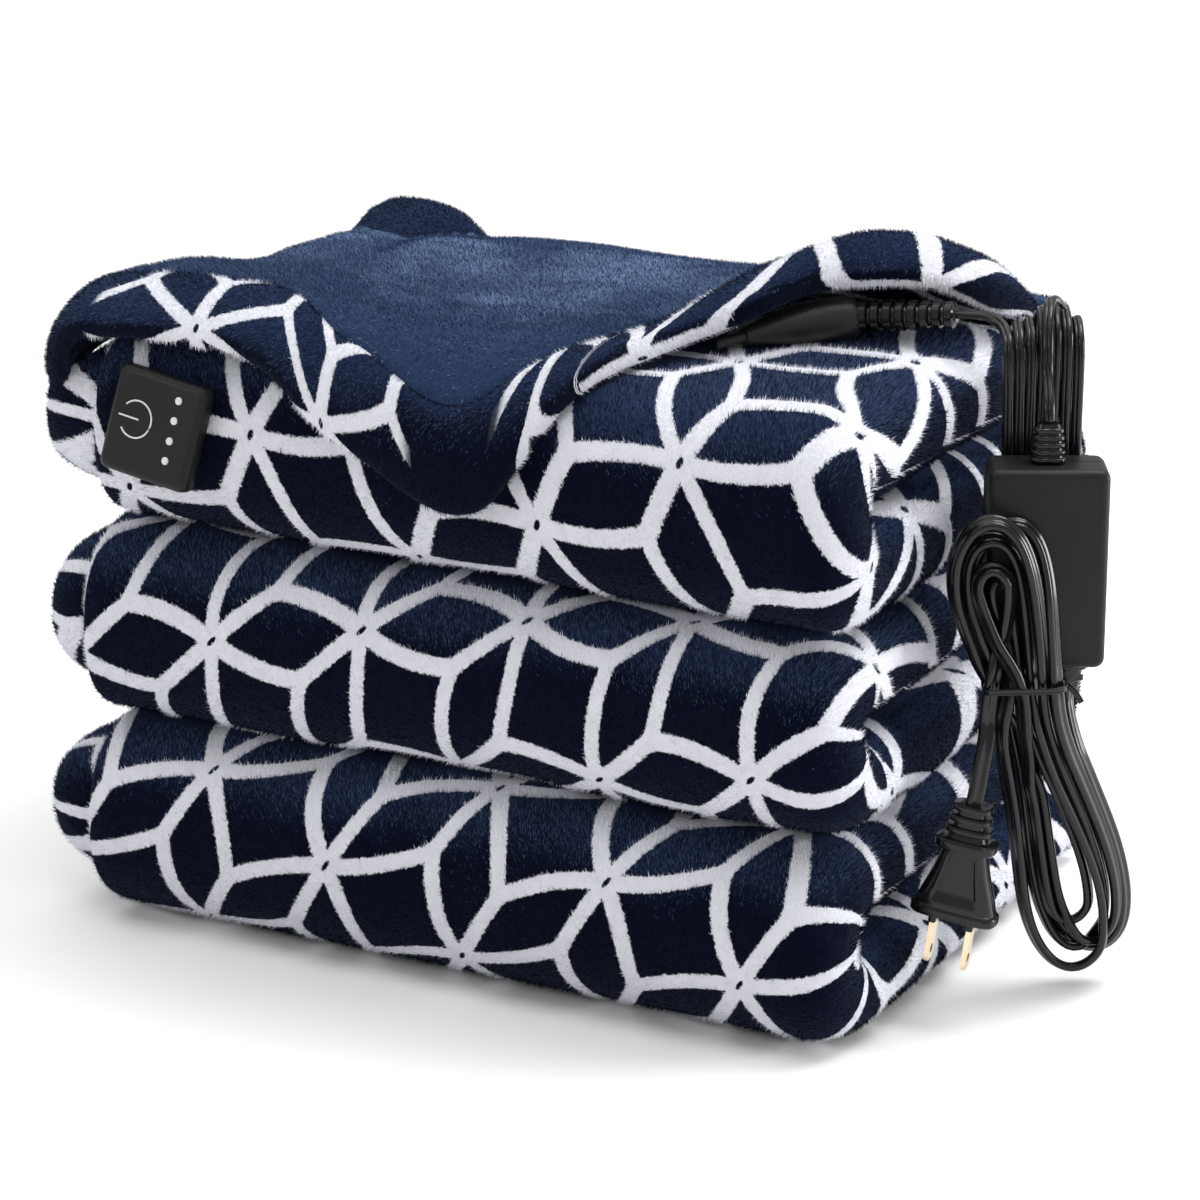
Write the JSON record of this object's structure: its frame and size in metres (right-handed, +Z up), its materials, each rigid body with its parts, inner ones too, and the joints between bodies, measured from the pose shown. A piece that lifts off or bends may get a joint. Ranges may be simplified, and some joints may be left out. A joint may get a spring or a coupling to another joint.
{
  "type": "folded electric heated blanket with controller, adapter and plug",
  "caption": "Plush heated throw folded into a stack, top corner turned back, with a push-button controller, low-voltage lead, adapter, tied mains cord and two-blade plug.",
  "frame": {"origin": "on the bottom face of the folded stack, midway between its left rim and right end and midway between its front bends and back bends", "axes": "+X right along the front of the stack, -Y towards the front bends, +Z up"},
  "size_m": [0.37, 0.2404, 0.2503],
  "materials": {
    "plush_cloth": "short-pile plush, white trellis lines on the face, plain navy on the reverse",
    "satin_plastic": "satin black",
    "cord_jacket": "glossy black jacket",
    "blade_brass": "bright"
  },
  "bodies": {
    "root": {"blanket": "plush_cloth", "controller": "satin_plastic", "dc_connector": "cord_jacket", "dc_relief": "cord_jacket", "dc_lead": "cord_jacket", "dc_hank": "cord_jacket", "dc_tail": "cord_jacket", "adapter_case": "satin_plastic", "adapter_relief_top": "cord_jacket", "adapter_relief_low": "cord_jacket", "mains_lead": "cord_jacket", "mains_hank": "cord_jacket", "hank_tie": "cord_jacket", "plug_lead": "cord_jacket", "plug_body": "cord_jacket", "plug_blade_left": "blade_brass", "plug_blade_right": "blade_brass"}
  },
  "joints": []
}
